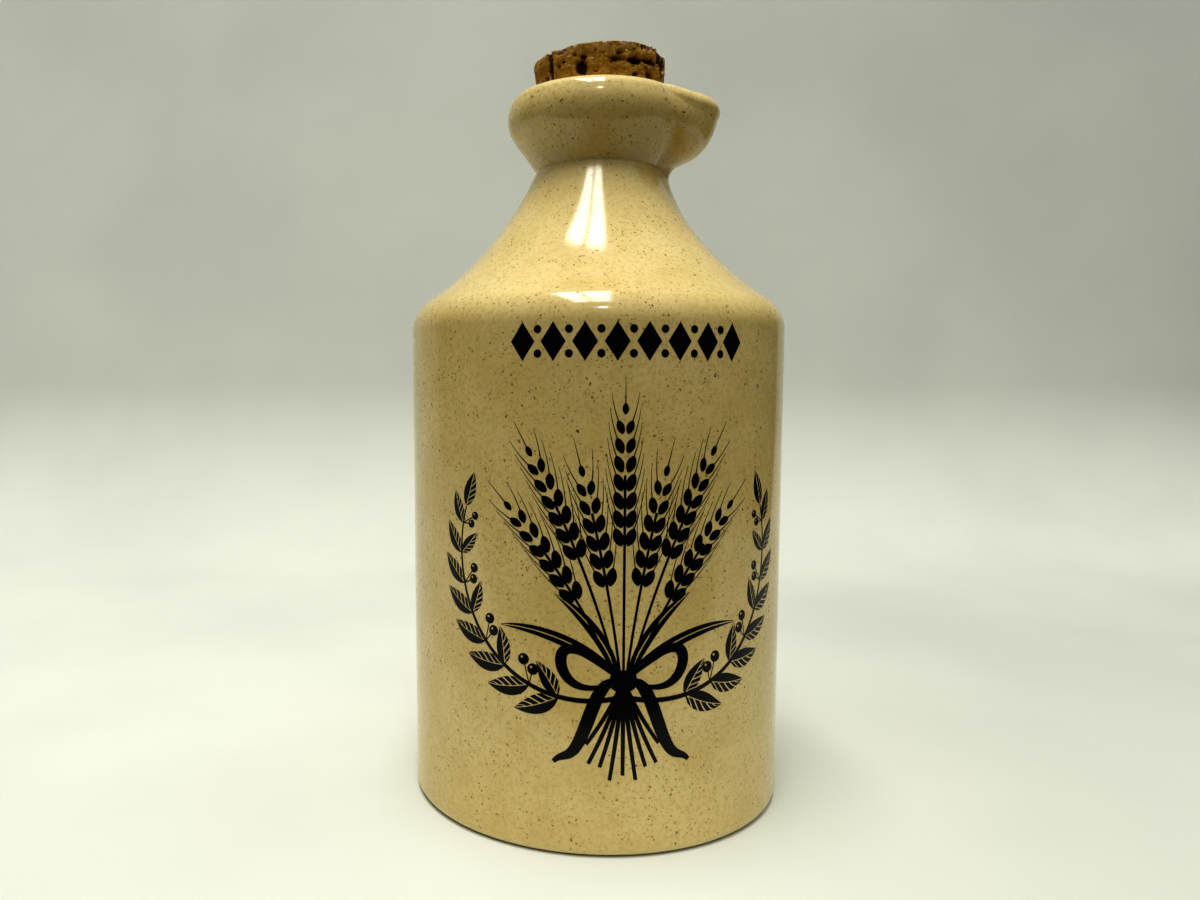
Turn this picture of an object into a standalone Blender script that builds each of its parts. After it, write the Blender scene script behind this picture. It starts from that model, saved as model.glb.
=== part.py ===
"""Stoneware vinegar cruet: a shouldered bottle with a pouring spout, and the cork in its mouth.

Units are metres, +Z is up, the base is centred on the origin, the plain front faces -Y and the
spout points along +X. Profile corners are given as (radius, height, cut): each corner is rounded
by a circular arc that starts that cut before it.
"""
import math

import bmesh
import bpy
import numpy as np

MM = 0.001
GAP = 0.3 * MM

# The whole cruet
BODY_RADIUS = 45.15 * MM
FOOT_RADIUS = 44.7 * MM
SHOULDER_HEIGHT = 116.3 * MM
CREASE_HEIGHT = 150.8 * MM
RIM_HEIGHT = 168.5 * MM

# Underside: a flat ring to stand on, with a shallow recess inside it
RING_INNER_RADIUS = 38.3 * MM
RECESS_RADIUS = 37.4 * MM
RECESS_DEPTH = 1.2 * MM
FOOT_CUT = 2.2 * MM

# Shoulder, neck and rolled collar, on the round side
SHOULDER_CUT = 4.3 * MM
NECK_RADIUS, NECK_HEIGHT, NECK_CUT = 23.57 * MM, 131.5 * MM, 20.4 * MM
CREASE_RADIUS, CREASE_CUT = 14.67 * MM, 0.47 * MM
ROLL_RADIUS, ROLL_HEIGHT, ROLL_CUT = 22.55 * MM, 161.7 * MM, 4.1 * MM
RIM_RADIUS, RIM_CUT = 20.4 * MM, 2.5 * MM
LIP_CUT = 2.1 * MM

# The same corners along the middle line of the spout
SPOUT_NECK_CUT = 15.8 * MM
SPOUT_ROOT_RADIUS, SPOUT_ROOT_CUT = 16.6 * MM, 3.7 * MM
SPOUT_ROLL_RADIUS, SPOUT_ROLL_HEIGHT, SPOUT_ROLL_CUT = 27.0 * MM, 155.5 * MM, 5.4 * MM
SPOUT_RIM_RADIUS, SPOUT_RIM_CUT = 31.0 * MM, 4.7 * MM
SPOUT_DIP = 1.1 * MM
DIPS_FROM = 161.0 * MM
CHANNEL_RADIUS = 23.6 * MM
CHANNEL_FOOT_RADIUS, CHANNEL_FOOT_HEIGHT, CHANNEL_CUT = 22.0 * MM, 160.4 * MM, 3.6 * MM

# How far round the spout reaches: narrow at its root, wide at its rim
ROOT_HALF_ANGLE = math.radians(24.0)
RIM_HALF_ANGLE = math.radians(41.5)
CHANNEL_HALF_ANGLE = math.radians(37.0)
WIDENS_FROM, WIDENS_TO = 152.5 * MM, 163.0 * MM
SPOUT_BLEND = 0.12
DIP_SHARE = 0.6

# Cork, in its own frame: it leans towards -X by CORK_LEAN about CORK_PIVOT
CORK_TOP_RADIUS = 16.0 * MM
CORK_TOP_HEIGHT = 176.25 * MM
CORK_FOOT_HEIGHT = 157.0 * MM
CORK_TAPER = 0.12
CORK_TOP_CUT = 0.4 * MM
CHIP_LEDGE = 0.5 * MM
CORK_FOOT_CUT = 1.0 * MM
CORK_DISH = 3.2
CORK_LEAN = math.radians(2.5)
CORK_PIVOT = np.array([1.0, 0.0, 166.0]) * MM

# Pits in the cork's side: degrees from the front towards +X, height, half width, half height, depth
CORK_PITS = (
    (-22.0, 171.6 * MM, 1.2 * MM, 1.5 * MM, 1.3 * MM),
    (-20.0, 173.9 * MM, 0.9 * MM, 0.6 * MM, 0.8 * MM),
    (8.0, 173.0 * MM, 1.9 * MM, 0.8 * MM, 0.7 * MM),
    (27.0, 172.8 * MM, 1.5 * MM, 0.8 * MM, 1.4 * MM),
    (43.0, 173.1 * MM, 2.6 * MM, 0.7 * MM, 0.8 * MM),
    (43.0, 170.3 * MM, 1.3 * MM, 0.8 * MM, 0.7 * MM),
    (65.0, 172.4 * MM, 1.1 * MM, 2.6 * MM, 0.9 * MM),
    (-53.0, 172.8 * MM, 0.7 * MM, 3.4 * MM, 1.0 * MM),
    (128.0, 173.5 * MM, 1.8 * MM, 1.0 * MM, 1.2 * MM),
    (170.0, 174.6 * MM, 1.2 * MM, 1.5 * MM, 1.0 * MM),
    (-128.0, 172.4 * MM, 1.6 * MM, 1.1 * MM, 1.2 * MM),
)
# Chips along the cork's top edge: degrees, half width, how far down they reach, depth
CORK_CHIPS = (
    (-66.0, 3.0 * MM, 0.3 * MM, 0.2 * MM),
    (-40.0, 1.6 * MM, 0.8 * MM, 0.6 * MM),
    (41.0, 2.6 * MM, 0.9 * MM, 0.6 * MM),
    (67.0, 3.6 * MM, 2.8 * MM, 1.2 * MM),
    (150.0, 3.0 * MM, 1.4 * MM, 0.9 * MM),
    (-155.0, 2.4 * MM, 1.0 * MM, 0.8 * MM),
)

# Fineness
SPOUT_COLUMNS = 26
ROUND_COLUMNS = 48
SPOUT_SECTOR = math.radians(50.0)
CORK_COLUMNS = 64


def smooth_step(low, high, value):
    """0 below low, 1 above high, and an even S curve between them."""
    share = np.clip((value - low) / (high - low), 0.0, 1.0)
    return share * share * (3.0 - 2.0 * share)


def rounded_path(corners, arc_steps, run_steps):
    """Points along a line of (radius, height, cut) corners, each rounded by a circular arc.

    An arc between tangent points is the rational curve through them whose middle weight is the
    cosine of half the turn. Paths made with the same steps have matching points.
    """
    corners = [np.array(corner) for corner in corners]
    points = [corners[0][:2]]
    for index in range(1, len(corners)):
        here = corners[index][:2]
        back = corners[index - 1][:2] - here
        back /= np.linalg.norm(back)
        start = here + back * corners[index][2]
        last = points[-1]
        for step in range(1, run_steps[index - 1] + 1):
            points.append(last + (start - last) * step / run_steps[index - 1])
        if index == len(corners) - 1 or arc_steps[index] == 0:
            continue
        ahead = corners[index + 1][:2] - here
        ahead /= np.linalg.norm(ahead)
        end = here + ahead * corners[index][2]
        weight = math.sqrt(max(0.0, 0.5 * (1.0 - float(back @ ahead))))
        for step in range(1, arc_steps[index] + 1):
            t = step / arc_steps[index]
            shares = np.array([(1.0 - t) ** 2, 2.0 * t * (1.0 - t) * weight, t * t])
            shares /= shares.sum()
            points.append(shares[0] * start + shares[1] * here + shares[2] * end)
    return np.array(points)


def seat_radius(height):
    """Radius of the cork at a height in its own frame."""
    return CORK_TOP_RADIUS - CORK_TAPER * (CORK_TOP_HEIGHT - height)


def lean(points):
    """Turn points of the cork's frame by its lean about its pivot."""
    turn = np.array([
        [math.cos(CORK_LEAN), 0.0, -math.sin(CORK_LEAN)],
        [0.0, 1.0, 0.0],
        [math.sin(CORK_LEAN), 0.0, math.cos(CORK_LEAN)],
    ])
    return (points - np.array([0.0, 0.0, CORK_PIVOT[2]])) @ turn.T + CORK_PIVOT


def bottle_profiles():
    """The bottle's profile on its round side and along the spout, point for point."""
    seat_floor = CORK_FOOT_HEIGHT - GAP
    seat_top = seat_radius(RIM_HEIGHT) + GAP
    seat_middle = seat_radius(CHANNEL_FOOT_HEIGHT) + GAP
    seat_foot = seat_radius(seat_floor) + GAP
    below = [
        (0.0, RECESS_DEPTH, 0.0),
        (RECESS_RADIUS, RECESS_DEPTH, 0.0),
        (RING_INNER_RADIUS, 0.0, 0.0),
        (FOOT_RADIUS, 0.0, FOOT_CUT),
        (BODY_RADIUS, SHOULDER_HEIGHT, SHOULDER_CUT),
    ]
    round_side = below + [
        (NECK_RADIUS, NECK_HEIGHT, NECK_CUT),
        (CREASE_RADIUS, CREASE_HEIGHT, CREASE_CUT),
        (ROLL_RADIUS, ROLL_HEIGHT, ROLL_CUT),
        (RIM_RADIUS, RIM_HEIGHT, RIM_CUT),
        (seat_top, RIM_HEIGHT, LIP_CUT),
        (seat_middle, CHANNEL_FOOT_HEIGHT, CHANNEL_CUT / 2.0),
        (seat_foot, seat_floor, 0.0),
        (0.0, seat_floor, 0.0),
    ]
    spout_side = below + [
        (NECK_RADIUS, NECK_HEIGHT, SPOUT_NECK_CUT),
        (SPOUT_ROOT_RADIUS, CREASE_HEIGHT, SPOUT_ROOT_CUT),
        (SPOUT_ROLL_RADIUS, SPOUT_ROLL_HEIGHT, SPOUT_ROLL_CUT),
        (SPOUT_RIM_RADIUS, RIM_HEIGHT, SPOUT_RIM_CUT),
        (CHANNEL_RADIUS, RIM_HEIGHT, LIP_CUT),
        (CHANNEL_FOOT_RADIUS, CHANNEL_FOOT_HEIGHT, CHANNEL_CUT),
        (seat_foot, seat_floor, 0.0),
        (0.0, seat_floor, 0.0),
    ]
    arc_steps = [0, 0, 0, 3, 5, 8, 3, 4, 5, 4, 3, 0, 0]
    run_steps = [2, 1, 1, 4, 2, 1, 2, 1, 1, 1, 2, 2]
    outer_count = 1 + sum(arc_steps[:9]) + sum(run_steps[:9])
    round_path = rounded_path(round_side, arc_steps, run_steps)
    spout_path = rounded_path(spout_side, arc_steps, run_steps)
    return round_path, spout_path, outer_count


def spout_share(azimuth, half_angle):
    """1 along the spout's middle line and 0 outside it, with a soft crease between.

    The cosine makes the spout a round lobe in plan; the crease is a parabola of SPOUT_BLEND.
    """
    edge = math.cos(half_angle)
    share = (math.cos(azimuth) - edge) / (1.0 - edge)
    if share <= -SPOUT_BLEND:
        return 0.0
    if share >= SPOUT_BLEND:
        return share
    return (share + SPOUT_BLEND) ** 2 / (4.0 * SPOUT_BLEND)


def bottle_azimuths():
    """Columns round the bottle, closer together over the spout."""
    over_spout = np.linspace(-SPOUT_SECTOR, SPOUT_SECTOR, SPOUT_COLUMNS + 1)
    round_the_rest = np.linspace(SPOUT_SECTOR, 2.0 * math.pi - SPOUT_SECTOR, ROUND_COLUMNS + 1)
    return np.concatenate([over_spout, round_the_rest[1:-1]])


def bottle_rings():
    """One ring of points for each point of the profile, from the base to the floor of the mouth."""
    round_path, spout_path, outer_count = bottle_profiles()
    azimuths = bottle_azimuths()
    rings = []
    for index, (plain, poured) in enumerate(zip(round_path, spout_path)):
        widening = smooth_step(WIDENS_FROM, WIDENS_TO, plain[1])
        half_angle = ROOT_HALF_ANGLE + (RIM_HALF_ANGLE - ROOT_HALF_ANGLE) * widening
        if index >= outer_count:
            half_angle = CHANNEL_HALF_ANGLE
        ring = []
        for azimuth in azimuths:
            share = spout_share(azimuth, half_angle)
            radius, height = plain + (poured - plain) * share
            dip = smooth_step(0.0, DIP_SHARE, share) * smooth_step(DIPS_FROM, RIM_HEIGHT, height)
            height -= SPOUT_DIP * dip
            ring.append((radius * math.cos(azimuth), radius * math.sin(azimuth), height))
        ring = np.array(ring)
        if index >= outer_count:
            # The mouth passes from the bottle's axis at the rim to the cork's own axis lower down
            seated = 1.0 - smooth_step(RIM_HEIGHT - LIP_CUT, RIM_HEIGHT, plain[1])
            ring += (lean(ring) - ring) * seated
        rings.append(ring)
    return rings


def closed_mesh(name, rings):
    """A closed mesh through rings of points whose first and last rings are single points."""
    bm = bmesh.new()
    first = bm.verts.new(rings[0].mean(axis=0))
    last = bm.verts.new(rings[-1].mean(axis=0))
    loops = [[bm.verts.new(point) for point in ring] for ring in rings[1:-1]]
    count = len(loops[0])
    for column in range(count):
        after = (column + 1) % count
        bm.faces.new((first, loops[0][after], loops[0][column]))
        bm.faces.new((last, loops[-1][column], loops[-1][after]))
        for lower, upper in zip(loops, loops[1:]):
            bm.faces.new((lower[column], lower[after], upper[after], upper[column]))
    bmesh.ops.recalc_face_normals(bm, faces=bm.faces)
    mesh = bpy.data.meshes.new(name)
    bm.to_mesh(mesh)
    bm.free()
    mesh.shade_smooth()
    mesh.set_sharp_from_angle(angle=math.radians(50.0))
    return mesh


def add_object(name, mesh, material):
    """Link a mesh into the scene as an object with its material."""
    mesh.materials.append(material)
    piece = bpy.data.objects.new(name, mesh)
    bpy.context.scene.collection.objects.link(piece)
    return piece


def make_material(name, colour, roughness):
    """A Principled material in one colour."""
    material = bpy.data.materials.new(name)
    material.use_nodes = True
    shader = material.node_tree.nodes["Principled BSDF"]
    shader.inputs["Base Color"].default_value = (*colour, 1.0)
    shader.inputs["Roughness"].default_value = roughness
    shader.inputs["Metallic"].default_value = 0.0
    return material


def make_bottle(material):
    """The stoneware bottle with its spout and the mouth that the cork fills."""
    return add_object("bottle", closed_mesh("bottle", bottle_rings()), material)


def cork_relief(degrees, height):
    """How deep the cork's side is pitted at a place: the sum of rounded hollows."""
    depth = 0.0
    for pit_degrees, pit_height, half_width, half_height, pit_depth in CORK_PITS:
        turn = (degrees - pit_degrees + 180.0) % 360.0 - 180.0
        across = math.radians(turn) * CORK_TOP_RADIUS / half_width
        along = (height - pit_height) / half_height
        depth += pit_depth * math.exp(-(across * across + along * along) ** 2)
    return depth


def chip_depth(degrees, height):
    """How far the cork's edge is broken away at a place: square-shouldered bites from the top."""
    depth = 0.0
    for chip_degrees, half_width, reach_down, chip in CORK_CHIPS:
        turn = (degrees - chip_degrees + 180.0) % 360.0 - 180.0
        across = math.radians(turn) * CORK_TOP_RADIUS / half_width
        ledge = CORK_TOP_HEIGHT - reach_down
        share = float(smooth_step(ledge - CHIP_LEDGE, ledge, height))
        depth += chip * math.exp(-across ** 4) * share
    return depth


def make_cork(material):
    """The tapered cork: a turned plug with a dished top, a chipped edge and pitted sides."""
    foot_radius = seat_radius(CORK_FOOT_HEIGHT)
    corners = [
        (0.0, CORK_FOOT_HEIGHT, 0.0),
        (foot_radius, CORK_FOOT_HEIGHT, CORK_FOOT_CUT),
        (CORK_TOP_RADIUS, CORK_TOP_HEIGHT, CORK_TOP_CUT),
        (0.0, CORK_TOP_HEIGHT, 0.0),
    ]
    path = rounded_path(corners, [0, 2, 3, 0], [2, 12, 4])
    rings = []
    for radius, height in path:
        ring = []
        for column in range(CORK_COLUMNS):
            azimuth = 2.0 * math.pi * column / CORK_COLUMNS
            degrees = math.degrees(azimuth) + 90.0
            exposed = float(smooth_step(RIM_HEIGHT - 1.0 * MM, RIM_HEIGHT + 1.0 * MM, height))
            near_edge = exposed * float(smooth_step(0.7, 1.0, radius / CORK_TOP_RADIUS))
            worn = cork_relief(degrees, height) + chip_depth(degrees, height)
            reach = radius - near_edge * worn
            near_top = float(smooth_step(CORK_TOP_HEIGHT - 2.0 * MM, CORK_TOP_HEIGHT, height))
            rise = CORK_DISH * reach * reach * near_top
            ring.append((reach * math.cos(azimuth), reach * math.sin(azimuth), height + rise))
        rings.append(lean(np.array(ring)))
    return add_object("cork", closed_mesh("cork", rings), material)


def main():
    """Clear the scene and build the cruet."""
    for item in list(bpy.data.objects):
        bpy.data.objects.remove(item, do_unlink=True)
    glaze = make_material("buff_glaze", (0.66, 0.52, 0.28), 0.2)
    cork = make_material("cork_bark", (0.35, 0.18, 0.06), 0.85)
    make_bottle(glaze)
    make_cork(cork)


main()
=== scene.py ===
"""Stoneware vinegar cruet: the glazed bottle, its black print, its cork and a plain studio."""
import math

import bpy
import numpy as np
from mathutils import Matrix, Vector


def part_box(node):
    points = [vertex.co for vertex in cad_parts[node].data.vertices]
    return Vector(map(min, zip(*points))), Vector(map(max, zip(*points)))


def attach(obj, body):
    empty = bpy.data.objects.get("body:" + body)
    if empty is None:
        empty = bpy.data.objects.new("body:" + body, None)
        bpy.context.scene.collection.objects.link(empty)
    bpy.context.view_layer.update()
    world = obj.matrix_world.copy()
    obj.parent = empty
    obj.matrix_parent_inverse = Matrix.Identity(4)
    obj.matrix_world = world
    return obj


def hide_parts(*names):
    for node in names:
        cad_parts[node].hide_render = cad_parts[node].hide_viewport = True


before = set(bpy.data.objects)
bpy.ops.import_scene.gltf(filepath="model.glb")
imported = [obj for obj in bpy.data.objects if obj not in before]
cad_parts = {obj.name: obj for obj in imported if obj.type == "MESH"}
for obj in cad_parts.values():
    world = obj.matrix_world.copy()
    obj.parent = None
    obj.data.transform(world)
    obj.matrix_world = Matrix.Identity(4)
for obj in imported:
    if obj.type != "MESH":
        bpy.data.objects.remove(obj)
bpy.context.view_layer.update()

bl_info = {
    "name": "Stoneware cruet",
    "version": (1, 0, 0),
    "blender": (4, 5, 0),
    "location": "View3D > Sidebar > Cruet",
    "description": "Builds a speckled stoneware cruet with a black print, a cork and a studio",
    "category": "Add Mesh",
}

MM = 0.001
BODY = "root"
RIM_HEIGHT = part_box("bottle")[1][2]

# The body's side lies this far inside the solid's, so that the print on it stays within the solid's size
PRINT_ROOM = 0.07 * MM

# Bottle profile corners: radius, height and cut, the length that its rounding takes from each side
RECESS_RADIUS, RECESS_DEPTH, RECESS_CUT = 37.4 * MM, 1.2 * MM, 0.3 * MM
RING_INNER_RADIUS = 38.3 * MM
FOOT_RADIUS, FOOT_CUT = 44.7 * MM - PRINT_ROOM, 2.2 * MM
BODY_RADIUS = 45.15 * MM - PRINT_ROOM
SHOULDER_HEIGHT, SHOULDER_CUT = 116.3 * MM, 4.3 * MM
NECK_RADIUS, NECK_HEIGHT, NECK_CUT = 23.57 * MM, 131.5 * MM, 20.4 * MM
CREASE_RADIUS, CREASE_HEIGHT, CREASE_CUT = 14.67 * MM, 150.8 * MM, 0.47 * MM
ROLL_RADIUS, ROLL_HEIGHT, ROLL_CUT = 22.55 * MM, 161.7 * MM, 4.1 * MM
RIM_RADIUS, RIM_CUT = 20.4 * MM, 2.5 * MM
LIP_CUT = 2.1 * MM

# The same corners along the middle line of the spout
SPOUT_NECK_CUT = 15.8 * MM
SPOUT_ROOT_RADIUS, SPOUT_ROOT_CUT = 16.6 * MM, 3.7 * MM
SPOUT_ROLL_RADIUS, SPOUT_ROLL_HEIGHT, SPOUT_ROLL_CUT = 27.0 * MM, 155.5 * MM, 5.4 * MM
SPOUT_RIM_RADIUS, SPOUT_RIM_CUT = 31.0 * MM, 4.7 * MM
SPOUT_DIP, DIPS_FROM, DIP_SHARE = 1.1 * MM, 161.0 * MM, 0.6
CHANNEL_RADIUS = 23.6 * MM
CHANNEL_FOOT_RADIUS, CHANNEL_FOOT_HEIGHT, CHANNEL_CUT = 22.0 * MM, 160.4 * MM, 3.6 * MM
ROOT_HALF_ANGLE = math.radians(24.0)
RIM_HALF_ANGLE = math.radians(41.5)
CHANNEL_HALF_ANGLE = math.radians(37.0)
WIDENS_FROM, WIDENS_TO = 152.5 * MM, 163.0 * MM
SPOUT_BLEND, ROOT_BLEND = 0.12, 0.34
SPOUT_SECTOR = math.radians(60.0)

# Cork, in its own frame, and how it leans in the mouth
CORK_GAP = 0.3 * MM
CORK_TOP_RADIUS, CORK_TOP_HEIGHT = 16.0 * MM, 176.25 * MM
CORK_FOOT_HEIGHT = 157.0 * MM
CORK_TAPER = 0.12
CORK_TOP_CUT, CORK_FOOT_CUT = 0.4 * MM, 1.0 * MM
CORK_DISH = 3.2
CORK_LEAN = math.radians(2.5)
CORK_PIVOT = np.array([1.0, 0.0, 166.0]) * MM

# Pits in the cork's side: degrees from the front towards +X, then height, half width, half height
# and depth in millimetres
CORK_PITS = (
    (-22.0, 171.6, 1.2, 1.5, 1.3),
    (-20.0, 173.9, 0.9, 0.6, 0.8),
    (8.0, 173.0, 1.9, 0.8, 0.7),
    (27.0, 172.8, 1.5, 0.8, 1.4),
    (43.0, 173.1, 2.6, 0.7, 0.8),
    (43.0, 170.3, 1.3, 0.8, 0.7),
    (65.0, 172.4, 1.1, 2.6, 0.9),
    (-53.0, 172.8, 0.7, 3.4, 1.0),
    (11.0, 174.3, 0.8, 0.5, 0.6),
    (27.0, 170.0, 0.8, 0.6, 0.8),
    (-38.0, 173.7, 0.5, 0.4, 0.6),
    (-43.0, 173.1, 0.6, 0.5, 0.6),
    (-27.0, 174.6, 0.6, 0.4, 0.5),
    (128.0, 173.5, 1.8, 1.0, 1.2),
    (170.0, 174.6, 1.2, 1.5, 1.0),
    (-128.0, 172.4, 1.6, 1.1, 1.2),
)

# Chips off the cork's upper edge: degrees, then half width, how far down and how deep in millimetres
CORK_CHIPS = (
    (-66.0, 3.0, 0.3, 0.2),
    (-40.0, 1.6, 0.8, 0.6),
    (41.0, 2.6, 0.9, 0.6),
    (67.0, 3.6, 2.8, 1.2),
    (150.0, 3.0, 1.4, 0.9),
    (-155.0, 2.4, 1.0, 0.8),
)
CHIP_LEDGE = 0.5 * MM
CORK_COLUMNS = 360
LATTICE = 32

# How deep the pores and the grain go in the cork's side and its top
SIDE_PORES, SIDE_GRAIN = 1.3 * MM, 0.10 * MM
TOP_PORES, TOP_GRAIN, TOP_SINK = 1.2 * MM, 0.12 * MM, 0.03 * MM

# The floor's edges, the backdrop behind it, the bend between them and the plain floor's reach
SWEEP_FRONT, SWEEP_BACK, SWEEP_LEFT, SWEEP_RIGHT = -0.118, 0.36, -0.85, 0.43
SWEEP_BEND, SWEEP_TOP, FLOOR_REACH = 0.10, 1.2, 2.5
# Paper tones: two plain ones, and a darker one that is painted shade on the floor's right
PAPER, PALE_PAPER, PAINTED_SHADE_PAPER = (0.66, 0.675, 0.640), (0.71, 0.725, 0.685), (0.40, 0.41, 0.385)

# Two long lamps side by side overhead, and a small one far in front
LAMP_COLOUR = (1.0, 0.985, 0.93)
TUBES_PLACE, TUBES_APART, TUBE_SIZE, TUBE_POWER = (-0.120, -0.36, 1.50), 0.125, (0.205, 1.02), 6.7
FAR_PLACE, FAR_TARGET, FAR_SIZE, FAR_POWER = (-0.02, -1.9, 1.75), (0.0, 0.0, 0.15), (0.16, 0.10), 3.0
LOW_AIR, HIGH_AIR, AIR_BEHIND = (0.018, 0.020, 0.019), (0.620, 0.635, 0.560), (0.50, 0.51, 0.44)

# The camera that the outline in the photograph was fitted to
CAMERA_PLACE, CAMERA_TILT = (-0.0212, -0.2370, 0.0993), math.radians(90.0 - 3.998)
CAMERA_LENS, CAMERA_SENSOR, CAMERA_SHIFT, CAMERA_NEAR = 28.5, 36.0, 0.075, 0.01


def smooth_step(low, high, value):
    """0 below low, 1 above high, and the cubic 3 s s - 2 s s s between them."""
    share = np.clip((value - low) / (high - low), 0.0, 1.0)
    return share * share * (3.0 - 2.0 * share)


def rounded_path(corners, arc_steps, run_steps):
    """Points along (radius, height, cut) corners, each rounded by a circular arc.

    A run is evenly spaced between tangent points. An arc is the rational curve through its two
    tangent points and its corner, whose middle weight is the cosine of half the turn.
    """
    corners = np.array(corners, dtype=float)
    places, cuts = corners[:, :2], corners[:, 2]
    parts = [places[:1]]
    leave = places[0]
    for index in range(1, len(places)):
        back = places[index - 1] - places[index]
        enter = places[index] + back / np.linalg.norm(back) * cuts[index]
        along = np.linspace(0.0, 1.0, run_steps[index - 1] + 1)[1:, None]
        parts.append(leave + (enter - leave) * along)
        leave = enter
        if index + 1 < len(places) and arc_steps[index]:
            ahead = places[index + 1] - places[index]
            leave = places[index] + ahead / np.linalg.norm(ahead) * cuts[index]
            turn = float(back @ ahead) / (np.linalg.norm(back) * np.linalg.norm(ahead))
            weight = math.sqrt(max(0.0, 0.5 * (1.0 - turn)))
            t = np.linspace(0.0, 1.0, arc_steps[index] + 1)[1:]
            shares = np.stack([(1.0 - t) ** 2, 2.0 * t * (1.0 - t) * weight, t * t], axis=1)
            shares /= shares.sum(axis=1, keepdims=True)
            parts.append(shares @ np.stack([enter, places[index], leave]))
    return np.concatenate(parts)


def seat_radius(height):
    """Radius of the cork at a height in its own frame: its top radius less the taper."""
    return CORK_TOP_RADIUS - CORK_TAPER * (CORK_TOP_HEIGHT - height)


def lean(points):
    """Turn points of the cork's frame by its lean about its pivot, an (..., 3) array."""
    c, s = math.cos(CORK_LEAN), math.sin(CORK_LEAN)
    turn = np.array([[c, 0.0, -s], [0.0, 1.0, 0.0], [s, 0.0, c]])
    return (points - np.array([0.0, 0.0, CORK_PIVOT[2]])) @ turn.T + CORK_PIVOT


def spout_share(azimuth, half_angle, blend):
    """1 along the spout's middle line, 0 outside it.

    (cos azimuth - cos half angle) / (1 - cos half angle), joined to 0 by a parabola that starts
    and ends where this is the blend below and above 0.
    """
    edge = np.cos(half_angle)
    share = (np.cos(azimuth) - edge) / (1.0 - edge)
    bend = (share + blend) ** 2 / (4.0 * blend)
    return np.where(share <= -blend, 0.0, np.where(share >= blend, share, bend))


def new_mesh(name, points, faces):
    """A smooth mesh from lists of points and faces."""
    mesh = bpy.data.meshes.new(name)
    mesh.from_pydata(points, [], faces)
    mesh.validate()
    mesh.shade_smooth()
    return mesh


def grid_mesh(name, rings):
    """A closed mesh through an (rings, columns, 3) array; its first and last rings are poles.

    Quads join neighbouring rings, and a fan of triangles closes each pole.
    """
    body = rings[1:-1]
    rows, columns = body.shape[:2]
    points = np.concatenate([body.reshape(-1, 3), rings[:1].mean(axis=1), rings[-1:].mean(axis=1)])
    low, high = rows * columns, rows * columns + 1
    column = np.arange(columns)
    after = (column + 1) % columns
    start = (np.arange(rows - 1) * columns)[:, None]
    following = start + columns
    quads = np.stack([start + column, start + after, following + after, following + column], axis=2)
    last = (rows - 1) * columns
    first_fan = np.stack([np.full(columns, low), after, column], axis=1)
    last_fan = np.stack([np.full(columns, high), last + column, last + after], axis=1)
    faces = quads.reshape(-1, 4).tolist() + first_fan.tolist() + last_fan.tolist()
    return new_mesh(name, points.tolist(), faces)


def link_mesh(mesh, material):
    """Give a mesh its material and link it as an object of its name."""
    mesh.materials.append(material)
    piece = bpy.data.objects.new(mesh.name, mesh)
    bpy.context.scene.collection.objects.link(piece)
    return piece


def add_piece(mesh, material, replaced=None):
    """Add a mesh as a finished piece that rides on the cruet."""
    piece = link_mesh(mesh, material)
    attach(piece, BODY)
    if replaced:
        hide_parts(replaced)


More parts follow.
